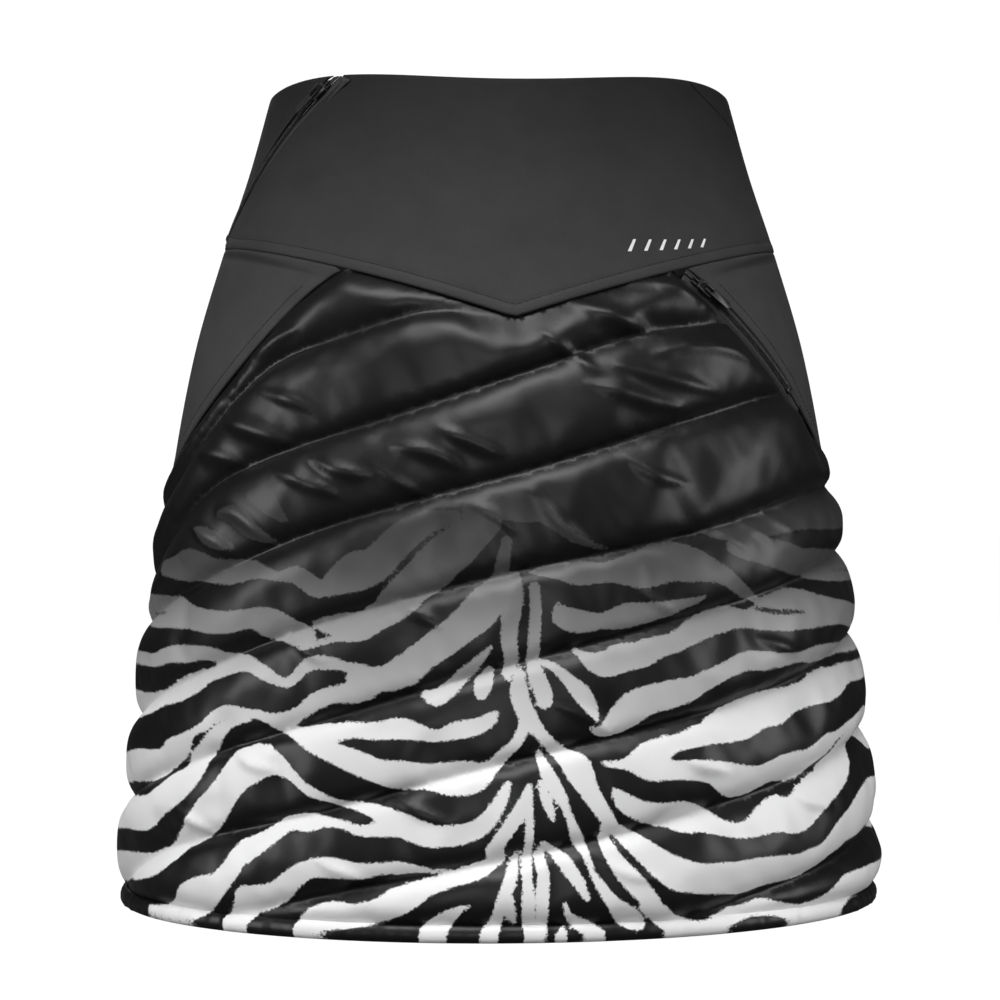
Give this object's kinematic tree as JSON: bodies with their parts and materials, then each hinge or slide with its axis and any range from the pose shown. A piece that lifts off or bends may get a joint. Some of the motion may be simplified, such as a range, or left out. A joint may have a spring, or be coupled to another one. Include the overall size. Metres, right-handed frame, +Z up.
{
  "type": "insulated overskirt",
  "caption": "Padded insulated overskirt with a softshell yoke and side panels, quilted printed front and back, a side zip and a zipped pocket.",
  "frame": {"origin": "centre of the hem outline on the floor plane, on the axis of the standing skirt", "axes": "+X towards the side with the zipped pocket (on the right of someone facing the front), -Y towards the front, +Z up from hem to waist"},
  "size_m": [0.4164, 0.3084, 0.4454],
  "materials": {
    "softshell": "matt knitted softshell, charcoal",
    "printed_shell": "light woven nylon with a soft sheen, black at the top fading through grey to white, with a black zebra print",
    "wadding": "lofted polyester wadding",
    "lining": "plain woven taffeta, black",
    "zip_tape": "woven polyester tape, black",
    "zip_coil": "moulded nylon coil, black",
    "zip_stop": "black coated metal",
    "zip_slider": "black enamelled zinc",
    "zip_puller": "dark grey enamelled zinc"
  },
  "bodies": {
    "skirt": {"back_lining": "lining", "back_quilt_shell": "printed_shell", "back_wadding": "wadding", "back_yoke": "softshell", "front_lining": "lining", "front_quilt_shell": "printed_shell", "front_wadding": "wadding", "front_yoke": "softshell", "hem_band": "printed_shell", "pocket_bag": "lining", "pocket_zip_bottom_stop": "zip_stop", "pocket_zip_coil_front": "zip_coil", "pocket_zip_coil_side": "zip_coil", "pocket_zip_tape_front": "zip_tape", "pocket_zip_tape_side": "zip_tape", "pocket_zip_top_stop_front": "zip_stop", "pocket_zip_top_stop_side": "zip_stop", "side_panel_left": "softshell", "side_panel_right": "softshell", "side_zip_bottom_stop": "zip_stop", "side_zip_coil_back": "zip_coil", "side_zip_coil_front": "zip_coil", "side_zip_tape_back": "zip_tape", "side_zip_tape_front": "zip_tape", "side_zip_top_stop_back": "zip_stop", "side_zip_top_stop_front": "zip_stop", "waist_facing": "lining"},
    "side_slider": {"side_zip_slider": "zip_slider"},
    "side_puller": {"side_zip_puller": "zip_puller"},
    "pocket_slider": {"pocket_zip_slider": "zip_slider"},
    "pocket_puller": {"pocket_zip_puller": "zip_puller"}
  },
  "joints": [
    {"name": "side_zip_run", "type": "hinge", "parent": "skirt", "child": "side_slider", "pos_m": [0.07278, 0.07351, 0.33287], "axis": [0.1875, -0.7504, -0.6338], "range_deg": [0, 22.9]},
    {"name": "side_puller_flip", "type": "hinge", "parent": "side_slider", "child": "side_puller", "pos_m": [-0.10143, -0.05856, 0.43768], "axis": [-0.1875, 0.7504, 0.6338], "range_deg": [0, 150]},
    {"name": "pocket_zip_run", "type": "hinge", "parent": "skirt", "child": "pocket_slider", "pos_m": [-0.02313, 0.09215, 0.25703], "axis": [0.4071, 0.5583, 0.7229], "range_deg": [0, 17.3]},
    {"name": "pocket_puller_flip", "type": "hinge", "parent": "pocket_slider", "child": "pocket_puller", "pos_m": [0.10245, -0.09543, 0.33118], "axis": [-0.4071, -0.5583, -0.7229], "range_deg": [0, 150]}
  ]
}
